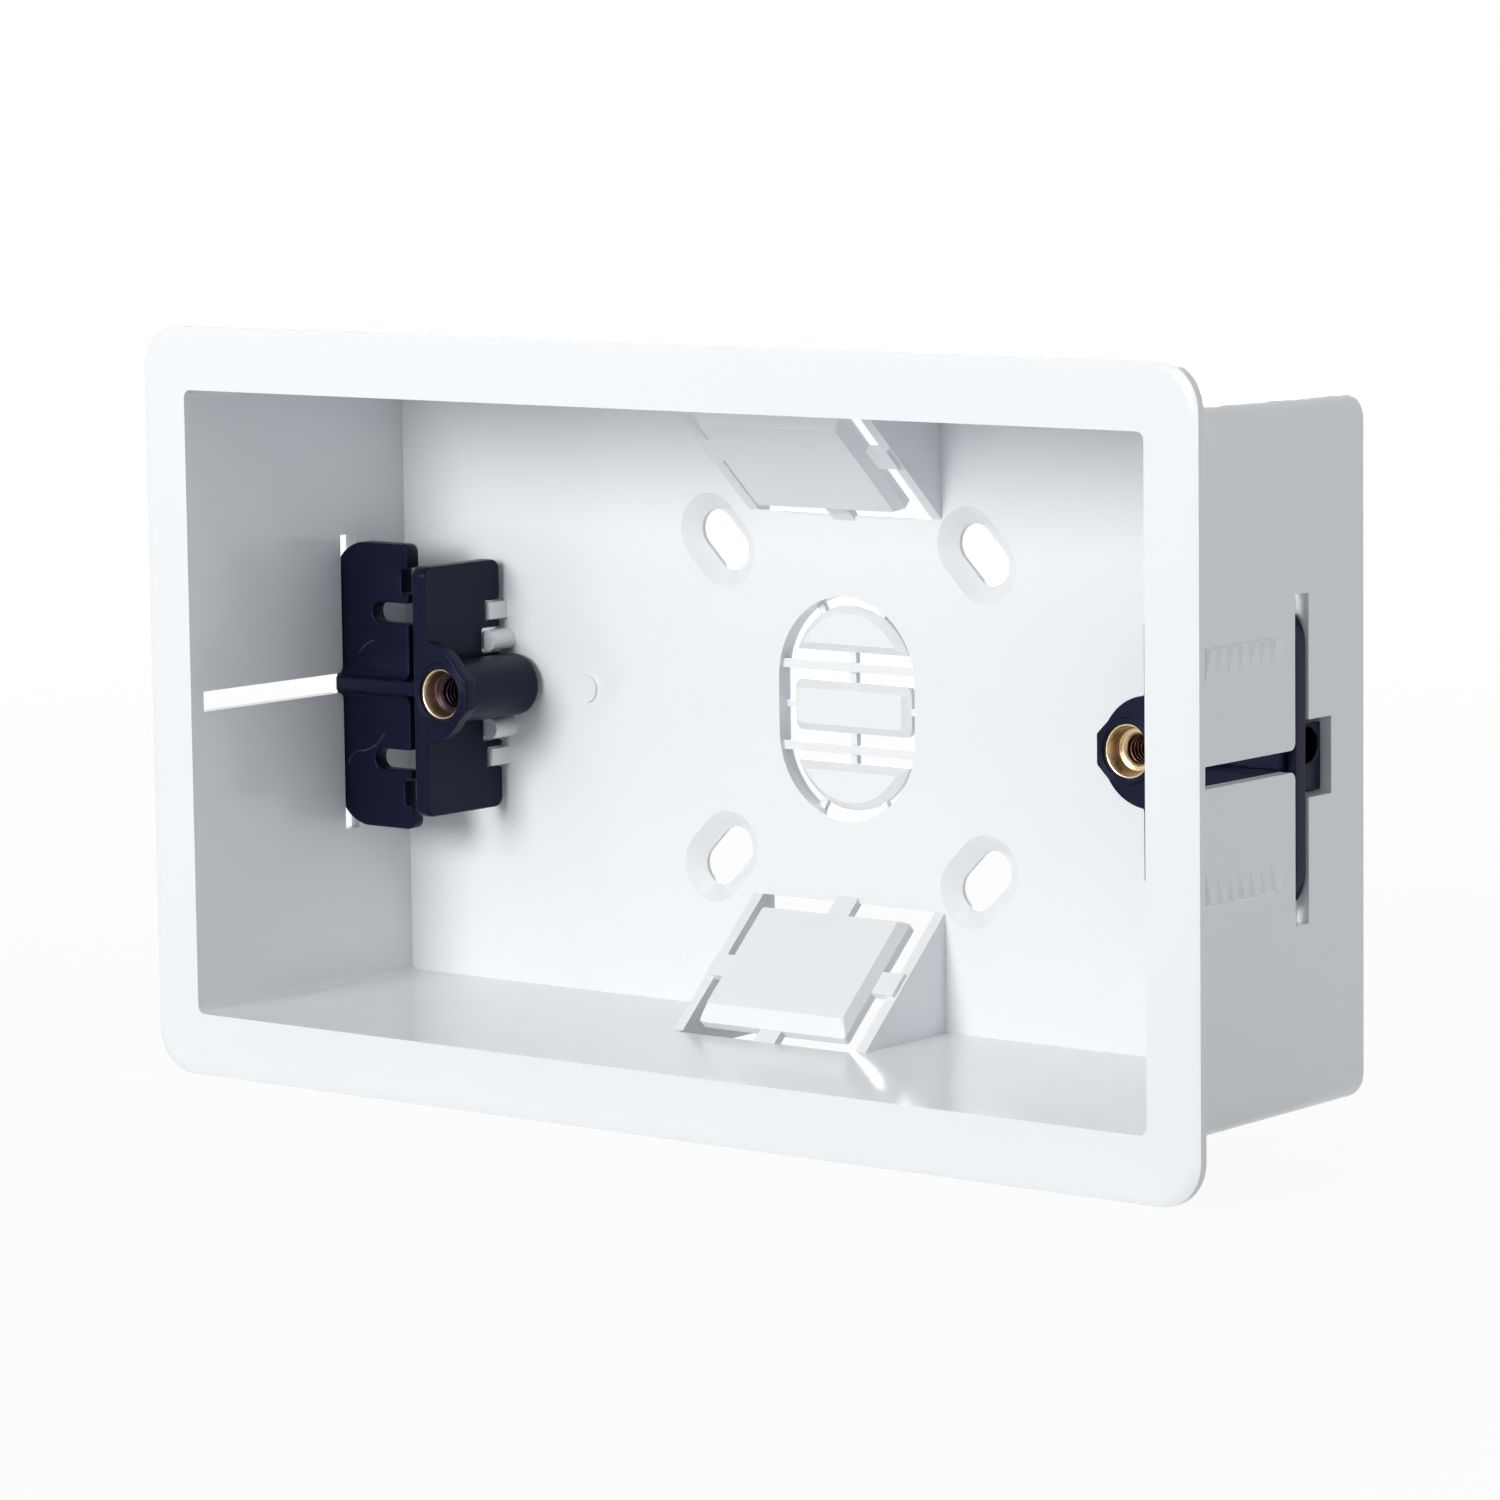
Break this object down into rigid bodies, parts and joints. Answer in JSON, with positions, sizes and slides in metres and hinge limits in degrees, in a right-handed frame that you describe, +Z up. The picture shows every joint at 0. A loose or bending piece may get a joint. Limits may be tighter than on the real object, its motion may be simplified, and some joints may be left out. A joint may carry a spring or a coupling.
{
  "type": "double dry-lining back box",
  "caption": "White moulded double back box for a plasterboard wall, with cable knockouts and black sliding clamps that carry brass screw inserts.",
  "frame": {"origin": "centre of the front opening, in the plane of the flange's front face", "axes": "+X to the right seen from the front, +Y back into the wall, +Z up"},
  "size_m": [0.1426, 0.0375, 0.084],
  "materials": {
    "white_plastic": "satin moulded",
    "black_plastic": "satin moulded",
    "brass": "turned"
  },
  "bodies": {
    "box": {"back_box": "white_plastic"},
    "left_clamp": {"clamp_left": "black_plastic", "insert_left": "brass"},
    "right_clamp": {"clamp_right": "black_plastic", "insert_right": "brass"}
  },
  "joints": [
    {"name": "left_clamp_slide", "type": "slide", "parent": "box", "child": "left_clamp", "axis": [-1, 0, 0], "range_m": [0, 0.013]},
    {"name": "right_clamp_slide", "type": "slide", "parent": "box", "child": "right_clamp", "axis": [1, 0, 0], "range_m": [0, 0.013]}
  ]
}
